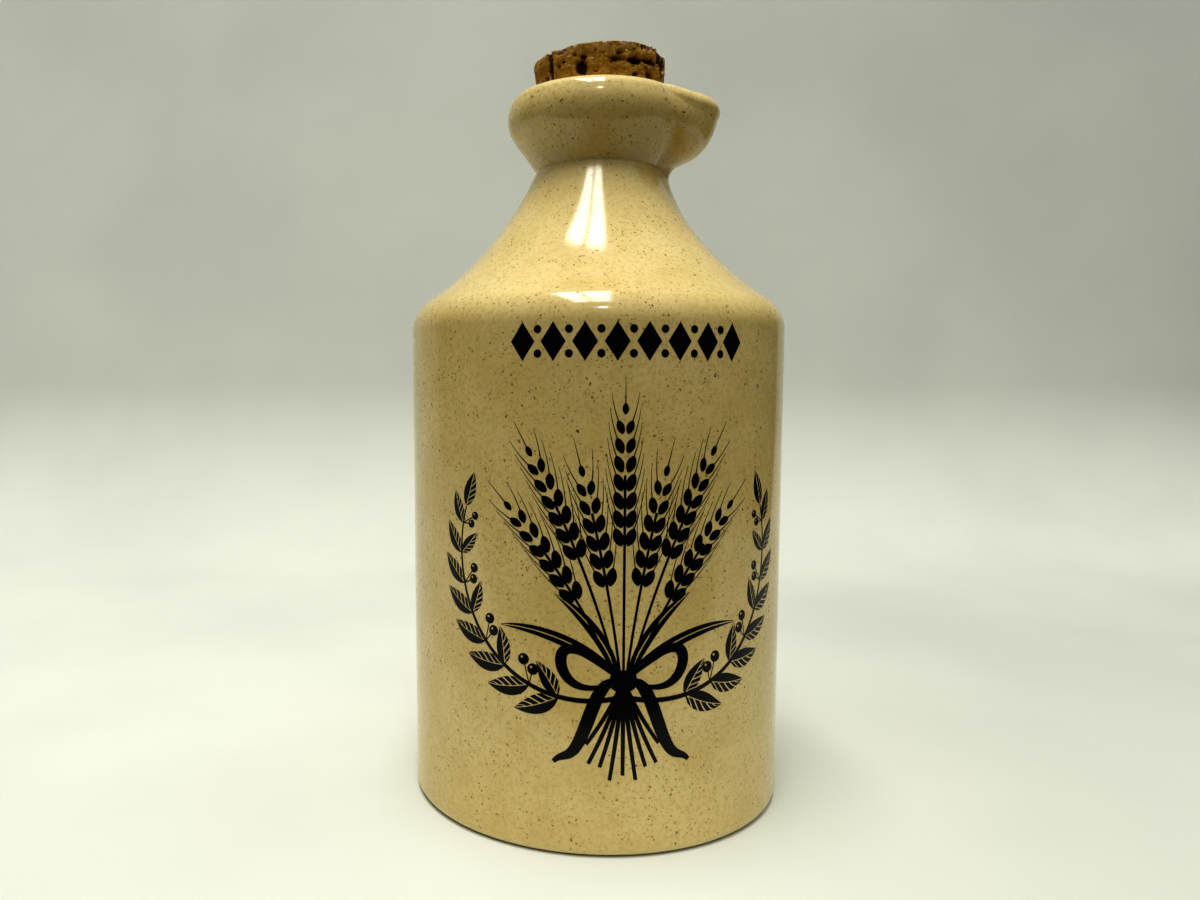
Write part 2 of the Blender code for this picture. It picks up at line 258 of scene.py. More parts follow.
def bottle_rings(azimuths, fineness):
    """The bottle's surface on a grid of profile points by azimuths.

    Each point is the round side's point moved towards the spout's by the spout's share there.
    """
    floor = CORK_FOOT_HEIGHT - CORK_GAP
    seat = [seat_radius(height) + CORK_GAP for height in (RIM_HEIGHT, CHANNEL_FOOT_HEIGHT, floor)]
    below = [
        (0.0, RECESS_DEPTH, 0.0),
        (RECESS_RADIUS, RECESS_DEPTH, RECESS_CUT),
        (RING_INNER_RADIUS, 0.0, RECESS_CUT),
        (FOOT_RADIUS, 0.0, FOOT_CUT),
        (BODY_RADIUS, SHOULDER_HEIGHT, SHOULDER_CUT),
    ]
    round_side = below + [
        (NECK_RADIUS, NECK_HEIGHT, NECK_CUT),
        (CREASE_RADIUS, CREASE_HEIGHT, CREASE_CUT),
        (ROLL_RADIUS, ROLL_HEIGHT, ROLL_CUT),
        (RIM_RADIUS, RIM_HEIGHT, RIM_CUT),
        (seat[0], RIM_HEIGHT, LIP_CUT),
        (seat[1], CHANNEL_FOOT_HEIGHT, CHANNEL_CUT / 2.0),
        (seat[2], floor, 0.0),
        (0.0, floor, 0.0),
    ]
    spout_side = below + [
        (NECK_RADIUS, NECK_HEIGHT, SPOUT_NECK_CUT),
        (SPOUT_ROOT_RADIUS, CREASE_HEIGHT, SPOUT_ROOT_CUT),
        (SPOUT_ROLL_RADIUS, SPOUT_ROLL_HEIGHT, SPOUT_ROLL_CUT),
        (SPOUT_RIM_RADIUS, RIM_HEIGHT, SPOUT_RIM_CUT),
        (CHANNEL_RADIUS, RIM_HEIGHT, LIP_CUT),
        (CHANNEL_FOOT_RADIUS, CHANNEL_FOOT_HEIGHT, CHANNEL_CUT),
        (seat[2], floor, 0.0),
        (0.0, floor, 0.0),
    ]
    arcs = [0, 2, 2, 5, 7, 9, 4, 6, 8, 6, 4, 0, 0]
    runs = [3, 1, 2, 10, 3, 1, 4, 2, 1, 2, 3, 3]
    arcs = [steps * fineness for steps in arcs]
    runs = [steps * fineness for steps in runs]
    outside = 1 + sum(arcs[:9]) + sum(runs[:9])
    plain = rounded_path(round_side, arcs, runs)
    poured = rounded_path(spout_side, arcs, runs)
    inside = np.arange(len(plain)) >= outside
    widening = smooth_step(WIDENS_FROM, WIDENS_TO, plain[:, 1])
    half_angle = ROOT_HALF_ANGLE + (RIM_HALF_ANGLE - ROOT_HALF_ANGLE) * widening
    half_angle = np.where(inside, CHANNEL_HALF_ANGLE, half_angle)
    blend = np.where(inside, SPOUT_BLEND, SPOUT_BLEND + (ROOT_BLEND - SPOUT_BLEND) * (1.0 - widening))
    share = spout_share(azimuths[None, :], half_angle[:, None], blend[:, None])
    radius = plain[:, :1] + (poured - plain)[:, :1] * share
    height = plain[:, 1:] + (poured - plain)[:, 1:] * share
    dip = SPOUT_DIP * smooth_step(0.0, DIP_SHARE, share)
    height = height - dip * smooth_step(DIPS_FROM, RIM_HEIGHT, height)
    rings = np.stack([radius * np.cos(azimuths), radius * np.sin(azimuths), height], axis=2)
    seated = (1.0 - smooth_step(RIM_HEIGHT - LIP_CUT, RIM_HEIGHT, plain[:, 1])) * inside
    return rings + (lean(rings) - rings) * seated[:, None, None]


class Nodes:
    """A short way to write a node tree: add nodes, and set or link their inputs."""

    def __init__(self, tree):
        self.tree = tree

    def put(self, socket, value):
        """Link an output to an input socket, or set a number, a vector or a colour there."""
        if isinstance(value, bpy.types.NodeSocket):
            self.tree.links.new(value, socket)
        elif socket.type == "RGBA":
            socket.default_value = (*value, 1.0)
        else:
            socket.default_value = value

    def fill(self, node, inputs):
        """Put values into a node's inputs by name or number."""
        for name, value in inputs.items():
            self.put(node.inputs[name], value)

    def add(self, kind, inputs=None, **settings):
        """Add a node, give it its settings and fill its inputs."""
        node = self.tree.nodes.new(kind)
        for name, value in settings.items():
            setattr(node, name, value)
        self.fill(node, inputs or {})
        return node

    def math(self, operation, first, second):
        """One Math node's value."""
        return self.add("ShaderNodeMath", {0: first, 1: second}, operation=operation).outputs[0]

    def vector(self, operation, first, second):
        """One Vector Math node's vector; the second input is a number where it scales."""
        name = "Scale" if operation == "SCALE" else 1
        return self.add("ShaderNodeVectorMath", {0: first, name: second}, operation=operation).outputs[0]

    def remap(self, value, low, high, to_low=0.0, to_high=1.0):
        """A value eased from low..high to to_low..to_high."""
        inputs = {"Value": value, "From Min": low, "From Max": high, "To Min": to_low, "To Max": to_high}
        return self.add("ShaderNodeMapRange", inputs, interpolation_type="SMOOTHSTEP").outputs["Result"]

    def mix(self, factor, first, second):
        """A mixed colour."""
        node = self.add("ShaderNodeMix", {"Factor": factor}, data_type="RGBA")
        inputs = [socket for socket in node.inputs if socket.type == "RGBA"]
        for socket, value in zip(inputs, (first, second)):
            self.put(socket, value)
        return [socket for socket in node.outputs if socket.type == "RGBA"][0]

    def noise(self, vector, scale, detail=2.0, roughness=0.5, distortion=0.0):
        """A noise value around 0.5."""
        inputs = {"Vector": vector, "Scale": scale, "Detail": detail, "Roughness": roughness}
        return self.add("ShaderNodeTexNoise", {**inputs, "Distortion": distortion}).outputs["Fac"]


def value_noise(points, cell, seed):
    """Smooth noise from -1 to 1 at an (..., 3) array of points.

    Random values stand on a lattice of that cell and are blended along each axis by 3 s s - 2 s s s.
    """
    lattice = np.random.default_rng(seed).uniform(-1.0, 1.0, (LATTICE,) * 3)
    place = points / cell + 100.0
    low = np.floor(place).astype(int)
    share = smooth_step(0.0, 1.0, place - low)
    total = np.zeros(points.shape[:-1])
    for corner in np.ndindex(2, 2, 2):
        step = np.array(corner)
        weight = np.where(step == 1, share, 1.0 - share).prod(axis=-1)
        index = (low + step) % LATTICE
        total += weight * lattice[index[..., 0], index[..., 1], index[..., 2]]
    return total


def layered_noise(points, cell, layers, seed):
    """Value noise summed over halving cells with halving heights."""
    return sum(value_noise(points, cell / 2**layer, seed + layer) / 2**layer for layer in range(layers))


def around(degrees, centre):
    """Signed turn in degrees from a centre to each angle, from -180 to 180."""
    return (degrees - centre + 180.0) % 360.0 - 180.0


def cork_wear(degrees, height, rough):
    """How deep the cork's side is worn at each place.

    A pit is depth times exp(-(x x + z z)^2) in its own half widths; a chip is depth times
    exp(-x^4) above its ledge. rough shifts the edges, so that they break unevenly.
    """
    depth = np.zeros(np.broadcast(degrees, height).shape)
    for centre, level, half_width, half_height, deep in CORK_PITS:
        across = np.radians(around(degrees, centre)) * CORK_TOP_RADIUS / (half_width * MM)
        along = (height - level * MM) / (half_height * MM)
        spread = (across**2 + along**2) * (1.0 + 0.55 * rough)
        depth += deep * MM * np.exp(-(spread**2))
    for centre, half_width, reach, deep in CORK_CHIPS:
        across = np.radians(around(degrees, centre)) * CORK_TOP_RADIUS / (half_width * MM)
        ledge = CORK_TOP_HEIGHT - reach * MM * (1.0 + 0.3 * rough)
        depth += deep * MM * np.exp(-(across**4)) * smooth_step(ledge - CHIP_LEDGE, ledge, height)
    return depth


def cork_surface():
    """The cork's surface: a turned path, worn on its side, dished and broken on its top.

    Returns the rings, and for each of their points the depth of wear and the nearness to the broken edge.
    """
    foot_radius = seat_radius(CORK_FOOT_HEIGHT)
    corners = [
        (0.0, CORK_FOOT_HEIGHT, 0.0),
        (foot_radius, CORK_FOOT_HEIGHT, CORK_FOOT_CUT),
        (CORK_TOP_RADIUS, CORK_TOP_HEIGHT, CORK_TOP_CUT),
        (0.0, CORK_TOP_HEIGHT, 0.0),
    ]
    path = rounded_path(corners, [0, 6, 8, 0], [8, 120, 60])
    azimuths = np.linspace(0.0, 2.0 * math.pi, CORK_COLUMNS, endpoint=False)[None, :]
    radius, height = path[:, :1], path[:, 1:]
    flat = np.stack(np.broadcast_arrays(radius * np.cos(azimuths), radius * np.sin(azimuths), height), axis=2)
    degrees = np.degrees(azimuths) + 90.0
    rough = layered_noise(flat, 1.6 * MM, 3, 11)
    grain = layered_noise(flat, 0.9 * MM, 3, 23)
    pores = np.clip(layered_noise(flat, 1.1 * MM, 2, 37) - 0.62, 0.0, 1.0)
    shown = smooth_step(RIM_HEIGHT - 1.0 * MM, RIM_HEIGHT + 1.0 * MM, height)
    side = shown * smooth_step(0.7, 1.0, radius / CORK_TOP_RADIUS)
    pits = cork_wear(degrees, height, rough) + SIDE_PORES * pores
    reach = radius - side * (pits + SIDE_GRAIN * (grain + 1.0))
    top = smooth_step(CORK_TOP_HEIGHT - 0.4 * MM, CORK_TOP_HEIGHT, height)
    near_top = smooth_step(CORK_TOP_HEIGHT - 2.0 * MM, CORK_TOP_HEIGHT, height)
    rise = CORK_DISH * reach * reach * near_top
    sink = top * (TOP_SINK + TOP_GRAIN * (grain + 1.0) + TOP_PORES * pores)
    rings = np.stack([reach * np.cos(azimuths), reach * np.sin(azimuths), height + rise - sink], axis=2)
    holes = side * (1.0 - top) * pits + top * TOP_PORES * pores
    # Nearness to the upper broken edge, where the material lays pale crumbs and a painted highlight
    off_edge = (height - CORK_TOP_HEIGHT + 0.1 * MM) / (0.8 * MM)
    edge = np.exp(-(off_edge**2)) * smooth_step(0.85, 0.95, reach / CORK_TOP_RADIUS)
    return lean(rings), holes, edge


def on_front(across, up, proud):
    """Points on the body's front: across is an arc length and up a height, both arrays."""
    share = np.clip(up / SHOULDER_HEIGHT, 0.0, 1.0)
    radius = FOOT_RADIUS + (BODY_RADIUS - FOOT_RADIUS) * share
    angle = across / radius
    reach = radius + proud
    return np.stack([reach * np.sin(angle), -reach * np.cos(angle), up], axis=-1)


def line_normals(line):
    """The unit normals of an (n, 2) line, to the left of its way."""
    along = np.gradient(line, axis=0)
    along /= np.maximum(np.linalg.norm(along, axis=1, keepdims=True), 1e-9)
    return np.stack([-along[:, 1], along[:, 0]], axis=1)


def pointing(angle):
    """The unit vector at an angle from the way across."""
    return np.array([math.cos(angle), math.sin(angle)])


def on_line(line, share):
    """The points of an (n, 2) line, or the values of a table beside it, at shares of its way."""
    knots = np.linspace(0.0, 1.0, len(line))
    return np.stack([np.interp(share, knots, line[:, axis]) for axis in (0, 1)], axis=-1)


class Ink:
    """Gathers printed shapes, each a grid of points on the body's front, into one mesh.

    A shape lies PROUD above the glaze and its edges run down into it.
    """

    PROUD = 0.04 * MM
    SUNK = -0.05 * MM
    EDGE = 0.045 * MM
    STEP = 1.0 * MM

    def __init__(self):
        self.points = []
        self.faces = []
        self.count = 0

    def sheet(self, across, up, proud):
        """Add one grid of points, given as two-dimensional arrays in metres, with its faces outwards."""
        grid = on_front(across, up, proud)
        rows, columns = across.shape
        index = np.arange(rows * columns).reshape(rows, columns) + self.count
        quads = np.stack([index[:-1, :-1], index[:-1, 1:], index[1:, 1:], index[1:, :-1]], axis=-1)
        quads = quads.reshape(-1, 4)
        wide = across[1:, 1:] - across[1:, :-1], up[1:, 1:] - up[1:, :-1]
        tall = across[1:, 1:] - across[:-1, 1:], up[1:, 1:] - up[:-1, 1:]
        if (wide[0] * tall[1] - wide[1] * tall[0]).sum() < 0.0:
            quads = quads[:, ::-1]
        self.points.append(grid.reshape(-1, 3))
        self.faces.extend(quads.tolist())
        self.count += rows * columns

    def strip(self, one, other):
        """Fill the space between two (n, 2) lines, with sunken edges along both of them.

        It is cut across often enough to follow the curve of the body.
        """
        gap = np.linalg.norm(other - one, axis=1, keepdims=True)
        sections = int(math.ceil(gap.max() / self.STEP))
        edge = np.minimum(self.EDGE / np.maximum(gap, 1e-9), 0.25)
        inner = edge * 2.0 + (1.0 - 4.0 * edge) * np.linspace(0.0, 1.0, sections + 1)[None, :]
        share = np.concatenate([edge * 0.0, edge, inner, 1.0 - edge, edge * 0.0 + 1.0], axis=1)[:, :, None]
        points = one[:, None, :] + (other - one)[:, None, :] * share
        proud = np.full(share.shape[:2], self.PROUD)
        proud[:, 0] = proud[:, -1] = self.SUNK
        self.sheet(points[..., 0], points[..., 1], proud)

    def ribbon(self, line, half_width):
        """A stroke along an (n, 2) line, of one half width or one for each point."""
        line = np.asarray(line, dtype=float)
        reach = line_normals(line) * np.broadcast_to(half_width, len(line))[:, None]
        self.strip(line - reach, line + reach)

    def blob(self, centre, half_width, half_height, turn=0.0, power=2.0, steps=14):
        """A filled rounded shape: a stroke whose width follows (1 - t^power)^(1/power)."""
        t = np.sin(np.linspace(-0.5 * math.pi, 0.5 * math.pi, steps))
        c, s = math.cos(turn), math.sin(turn)
        line = np.stack([centre[0] - s * t * half_height, centre[1] + c * t * half_height], axis=1)
        width = half_width * np.maximum(1.0 - np.abs(t) ** power, 0.0) ** (1.0 / power)
        self.ribbon(line, np.maximum(width, 0.01 * MM))

    def mesh(self, name):
        """The gathered shapes as one mesh."""
        return new_mesh(name, np.concatenate(self.points).tolist(), self.faces)


def bent_line(start, heading, length, curl, steps):
    """A line of that length from start: its heading turns by curl in all, evenly along it."""
    t = np.linspace(0.0, 1.0, steps)
    angle = heading + curl * t
    step = length / (steps - 1)
    move = np.stack([np.cos(angle), np.sin(angle)], axis=1) * step
    move[0] = 0.0
    return np.asarray(start) + np.cumsum(move, axis=0)


def draw_leaf(ink, start, heading, length, width, curl):
    """A lance-shaped leaf: one half solid, the other cut by slanted veins.

    Its half width at t along it is width * sin(pi t^0.8)^0.9, and a bare midrib parts the halves.
    """
    middle = bent_line(start, heading, length, curl, 40)
    normal = line_normals(middle)
    midrib = 0.09 * MM
    first, last = 0.02, 0.995

    def edge_points(t, side, out):
        return on_line(middle, t) + side * on_line(normal, t) * out[:, None]

    def half_width(t):
        return np.maximum(width * np.sin(math.pi * np.clip(t, 0.0, 1.0) ** 0.8) ** 0.9, 1.3 * midrib)

    t = np.linspace(first, last, 16)
    ink.strip(edge_points(t, 1.0, np.full_like(t, midrib)), edge_points(t, 1.0, half_width(t)))
    wedges, slant = 6, 0.20
    for number in range(wedges):
        low = (number - 0.4) / wedges
        high = (number + 0.36) / wedges
        b = np.linspace(0.0, 1.0, 6)
        near, far = np.clip(low + slant * b, first, last), np.clip(high + slant * b, first, last)
        out_near = midrib + (half_width(near) - midrib) * b
        out_far = midrib + (half_width(far) - midrib) * b
        ink.strip(edge_points(near, -1.0, out_near), edge_points(far, -1.0, out_far))


def draw_berry(ink, centre, radius):
    """A berry: a black disc with a small bare glint at its upper left."""
    angle = np.linspace(0.0, 2.0 * math.pi, 19)[:, None]
    glint = np.array([-0.30, 0.34]) * radius
    turn = np.stack([np.cos(angle), np.sin(angle)], axis=2)
    inner = glint + 0.20 * radius * turn
    outer = radius * turn
    ink.strip((inner + centre)[:, 0], (outer + centre)[:, 0])


def draw_ear(ink, foot, heading, curl, stalk, ear):
    """An ear of barley on its stalk: pairs of grains, each with its awn, and one grain at the tip."""
    steps, stem_steps = 60, 46
    line = bent_line(foot, heading, stalk + ear, curl, steps)
    ink.ribbon(line[:stem_steps], 0.30 * MM)
    pitch = 3.75 * MM
    pairs = int(ear / pitch)
    for number in range(pairs + 1):
        share = (stalk + pitch * number) / (stalk + ear)
        angle = heading + curl * share
        size = 1.0 - 0.38 * (number / pairs) ** 3
        for side in (-1.0, 1.0) if number < pairs else (0.0,):
            out = angle + side * 0.36
            aside = pointing(angle + 0.5 * math.pi) * side * 1.30 * MM * size
            centre = on_line(line, share) + aside + pointing(angle) * 1.5 * MM
            ink.blob(centre, 1.12 * MM * size, 1.95 * MM * size, out - 0.5 * math.pi, 1.7)
            tip = centre + pointing(out) * 1.8 * MM * size
            awn = (9.5 - 0.6 * number) * MM
            ink.ribbon(bent_line(tip, out, awn, -side * 0.22, 8), np.linspace(0.15, 0.06, 8) * MM)


def draw_blade(ink, foot, heading, length, width, curl):
    """A long blade of barley leaf: two black halves that narrow to a point, parted by a bare rib."""
    t = np.linspace(0.0, 1.0, 36)
    middle = bent_line(foot, heading, length, curl, len(t))
    normal = line_normals(middle)
    half = (width * np.sin(math.pi * (0.12 + 0.88 * t)) ** 0.7)[:, None]
    rib = np.minimum(0.10 * MM, 0.3 * half)
    for side in (-1.0, 1.0):
        ink.strip(middle + side * rib * normal, middle + side * np.maximum(half, 1.5 * rib) * normal)


def draw_branch(ink, tie, mirror):
    """A laurel branch from the tie: a tapering stem with leaves, and berries in some inner places."""
    heading, length, curl = -0.24, 63.0 * MM, 2.12
    steps, pairs = 80, 8
    line = bent_line((0.0, 0.0), heading, length, curl, steps)
    line[:, 0] *= mirror
    line += tie + np.array([mirror * 1.0 * MM, -3.5 * MM])
    ink.ribbon(line, np.linspace(0.60, 0.20, steps) * MM)

    def turned(share):
        angle = heading + curl * share
        return angle if mirror > 0.0 else math.pi - angle

    for number in range(pairs):
        share = 0.20 + 0.74 * number / (pairs - 1)
        base = on_line(line, share)
        size = 1.0 - 0.34 * share**2
        for side in (-1.0, 1.0):
            inner = side == mirror
            if inner and number % 2:
                for turn, reach in ((1.40, 3.5), (0.92, 5.6)):
                    place = base + pointing(turned(share) + side * turn) * reach * MM * size
                    ink.ribbon(np.linspace(base, place, 6), 0.15 * MM)
                    draw_berry(ink, place, 1.3 * MM * size)
                continue
            turn, leaf, bend = (0.88, 8.8, 0.15) if inner else (0.70, 10.6, 0.35)
            leaf *= MM * size
            draw_leaf(ink, base, turned(share) + side * turn, leaf, 0.205 * leaf, -side * bend)
    draw_leaf(ink, line[-1], turned(1.0), 8.0 * MM, 1.7 * MM, 0.0)


def draw_bow(ink, centre):
    """A tied ribbon: a knot, two loops and two waving tails, each a stroke of changing width."""
    t = np.linspace(0.0, 1.0, 44)
    for side in (-1.0, 1.0):
        across = side * 13.0 * MM * np.sin(math.pi * t * 0.98)
        up = 4.6 * MM * np.sin(2.0 * math.pi * t) * (0.55 + 0.45 * t) + 4.4 * MM * np.sin(math.pi * t)
        ink.ribbon(np.stack([across, up], axis=1) + centre, (0.40 + 0.85 * np.sin(math.pi * t) ** 2) * MM)
        across = side * (2.0 + 12.5 * t) * MM
        up = (-19.5 * t + 2.0 * np.sin(2.4 * math.pi * t)) * MM
        ink.ribbon(np.stack([across, up], axis=1) + centre, (0.5 + 0.95 * np.sin(math.pi * t**0.7)) * MM)
    ink.blob(centre, 2.9 * MM, 2.3 * MM, 0.0, 2.6)


def draw_sheaf(ink, tie):
    """A tied sheaf of barley: ears and blades above the tie and the stalks' ends below it."""
    ears = 7
    for number in range(ears):
        spread = 2.0 * number / (ears - 1) - 1.0
        heading = 0.5 * math.pi - 0.36 * spread
        foot = tie + np.array([1.6 * MM * spread, 0.0])
        stalk = (21.0 + (7.5 if number % 2 else 0.0) - 2.0 * abs(spread)) * MM
        draw_ear(ink, foot, heading, -0.42 * spread, stalk, (27.5 - 4.0 * abs(spread)) * MM)
    for side in (-1.0, 1.0):
        for lean_out, length, curl in ((0.78, 28.0, 0.85), (0.30, 22.0, 0.70)):
            foot = tie + np.array([side * 1.2 * MM, 1.0 * MM])
            heading = 0.5 * math.pi - side * lean_out
            draw_blade(ink, foot, heading, length * MM, 1.25 * MM, -side * curl)
    ends = 9
    for number in range(ends):
        spread = 2.0 * number / (ends - 1) - 1.0
        heading = -0.5 * math.pi + 0.40 * spread
        length = (20.0 - 4.5 * spread * spread + (1.5 if number % 2 else 0.0)) * MM
        ink.ribbon(bent_line(tie, heading, length, 0.22 * spread, 16), np.linspace(0.55, 0.42, 16) * MM)


def lozenge(ink, centre, half_width, half_height):
    """A diamond: a stroke whose half width falls in a straight line from its middle."""
    t = np.linspace(-1.0, 1.0, 15)
    line = np.stack([np.full_like(t, centre[0]), centre[1] + half_height * t], axis=1)
    ink.ribbon(line, np.maximum(half_width * (1.0 - np.abs(t)), 0.02 * MM))


def use_group(nodes, name, output, build, coords, values):
    """One use of a node group that takes a vector and named values and gives one value.

    The group is made at its first use: build adds its nodes and returns its result.
    """
    group = bpy.data.node_groups.get(name)
    if not group:
        group = bpy.data.node_groups.new(name, "ShaderNodeTree")
        group.interface.new_socket("Vector", in_out="INPUT", socket_type="NodeSocketVector")
        for key in values:
            group.interface.new_socket(key, in_out="INPUT", socket_type="NodeSocketFloat")
        group.interface.new_socket(output, in_out="OUTPUT", socket_type="NodeSocketFloat")
        inner = Nodes(group)
        given = inner.add("NodeGroupInput").outputs
        inner.add("NodeGroupOutput", {output: build(inner, given)})
    return nodes.add("ShaderNodeGroup", {"Vector": coords, **values}, node_tree=group).outputs[output]


def relief_height(nodes, given):
    """The height in metres of two layers of noise, each with its size and depth."""
    broad = nodes.noise(given["Vector"], given["Broad Cells"], 1.0, 0.4)
    fine = nodes.noise(given["Vector"], given["Fine Cells"], 3.0, 0.55)
    broad = nodes.math("MULTIPLY", broad, given["Broad Depth"])
    return nodes.math("ADD", broad, nodes.math("MULTIPLY", fine, given["Fine Depth"]))


def uneven_normal(nodes, coords, broad, fine):
    """The normal of an uneven surface: broad and fine are each a size and a depth in metres."""
    values = {"Broad Cells": 1.0 / broad[0], "Broad Depth": broad[1]}
    values.update({"Fine Cells": 1.0 / fine[0], "Fine Depth": fine[1]})
    height = use_group(nodes, "uneven_surface", "Height", relief_height, coords, values)
    return nodes.add("ShaderNodeBump", {"Height": height, "Distance": 1.0, "Strength": 1.0}).outputs["Normal"]


def speck_mask(nodes, given):
    """1 inside round, ragged specks that are scattered through space, at most one in each cell."""
    place = nodes.vector("SCALE", given["Vector"], given["Cells"])
    rag = nodes.add("ShaderNodeTexNoise", {"Vector": place, "Scale": 2.3, "Detail": 2.0}).outputs["Color"]
    shift = nodes.vector("SCALE", nodes.vector("SUBTRACT", rag, (0.5, 0.5, 0.5)), given["Ragged"])
    place = nodes.vector("ADD", place, shift)
    cells = nodes.add("ShaderNodeTexVoronoi", {"Vector": place, "Scale": 1.0, "Randomness": 1.0}).outputs
    split = nodes.add("ShaderNodeSeparateColor", {"Color": cells["Color"]}).outputs
    present = nodes.math("LESS_THAN", split[0], given["Share"])
    limit = nodes.math("MULTIPLY", given["Size"], nodes.remap(split[1], 0.0, 1.0, 0.45, 1.25))
    inside = nodes.remap(nodes.math("DIVIDE", cells["Distance"], limit), 1.0, 0.7)
    return nodes.math("MULTIPLY", inside, present)


def add_specks(nodes, coords, base, layers, crowd=1.0):
    """A colour with layers of specks over it; crowd scales the strength of them all.

    A layer is its cell in metres, the share of cells that hold a speck, the speck's size as a
    share of the cell, how ragged it is, its strength and its colour.
    """
    for cell, share, size, ragged, strength, tint in layers:
        values = {"Cells": 1.0 / cell, "Share": share, "Size": size, "Ragged": ragged}
        mask = use_group(nodes, "clay_specks", "Mask", speck_mask, coords, values)
        strength = nodes.math("MULTIPLY", crowd, strength)
        base = nodes.mix(nodes.math("MULTIPLY", mask, strength), base, tint)
    return base


def new_material(name):
    """An empty node material: its Nodes, its Principled shader and Object coordinates."""
    material = bpy.data.materials.new(name)
    material.use_nodes = True
    nodes = Nodes(material.node_tree)
    shader = material.node_tree.nodes["Principled BSDF"]
    coords = nodes.add("ShaderNodeTexCoord").outputs["Object"]
    return material, nodes, shader, coords


# The glaze's waves and orange peel: each a size and a depth
GLAZE_WAVES = (16.0 * MM, 0.16 * MM), (1.8 * MM, 0.006 * MM)


def glaze_material(colours):
    """Clear glaze over speckled buff clay, creamier where it runs thin and bare under the foot."""
    material, nodes, shader, coords = new_material("speckled_glaze")
    height = nodes.add("ShaderNodeSeparateXYZ", {"Vector": coords}).outputs["Z"]
    cloud = nodes.noise(coords, 60.0, 3.0, 0.55)
    mottle = nodes.noise(coords, 950.0, 3.0, 0.7)
    crowd = nodes.remap(nodes.noise(coords, 130.0, 2.0, 0.5), 0.38, 0.58, 0.40, 1.0)
    base = nodes.mix(nodes.remap(cloud, 0.35, 0.65), colours.clay_deep, colours.clay)
    base = nodes.mix(nodes.remap(mottle, 0.56, 0.34, 0.0, 0.40), base, colours.clay_shade)
    layers = (
        (0.60 * MM, 0.50, 0.34, 0.7, 0.60, colours.speck_pale),
        (0.95 * MM, 0.48, 0.25, 0.8, 0.75, colours.speck_mid),
        (1.5 * MM, 0.42, 0.175, 0.7, 0.85, colours.speck_mid),
        (2.6 * MM, 0.42, 0.110, 0.6, 0.95, colours.speck_dark),
        (8.0 * MM, 0.30, 0.045, 0.5, 1.0, colours.speck_dark),
    )
    base = add_specks(nodes, coords, base, layers, crowd)
    rim = nodes.remap(height, RIM_HEIGHT - 1.3 * MM, RIM_HEIGHT - 0.2 * MM, 0.0, 0.75)
    foot = nodes.remap(height, 2.6 * MM, 0.8 * MM, 0.0, 0.45)
    thin = nodes.math("MAXIMUM", rim, foot)
    base = nodes.mix(thin, base, colours.clay_thin)
    bare = nodes.remap(height, 0.55 * MM, 0.25 * MM)
    base = nodes.mix(bare, base, colours.clay_bare)
    roughness = nodes.remap(bare, 0.0, 1.0, 0.13, 0.85)
    normal = uneven_normal(nodes, coords, *GLAZE_WAVES)
    nodes.fill(shader, {"Base Color": base, "Roughness": roughness, "Normal": normal, "IOR": 1.52})
    return material


def ink_material(colours):
    """Black fired print under the same glaze: nearly even, a little brown where it is thin."""
    material, nodes, shader, coords = new_material("black_print_ink")
    worn = nodes.noise(coords, 900.0, 3.0, 0.6)
    base = nodes.mix(nodes.remap(worn, 0.58, 0.78, 0.0, 0.5), colours.ink, colours.ink_worn)
    normal = uneven_normal(nodes, coords, *GLAZE_WAVES)
    nodes.fill(shader, {"Base Color": base, "Normal": normal, "Roughness": 0.16, "Specular IOR Level": 0.18})
    return material


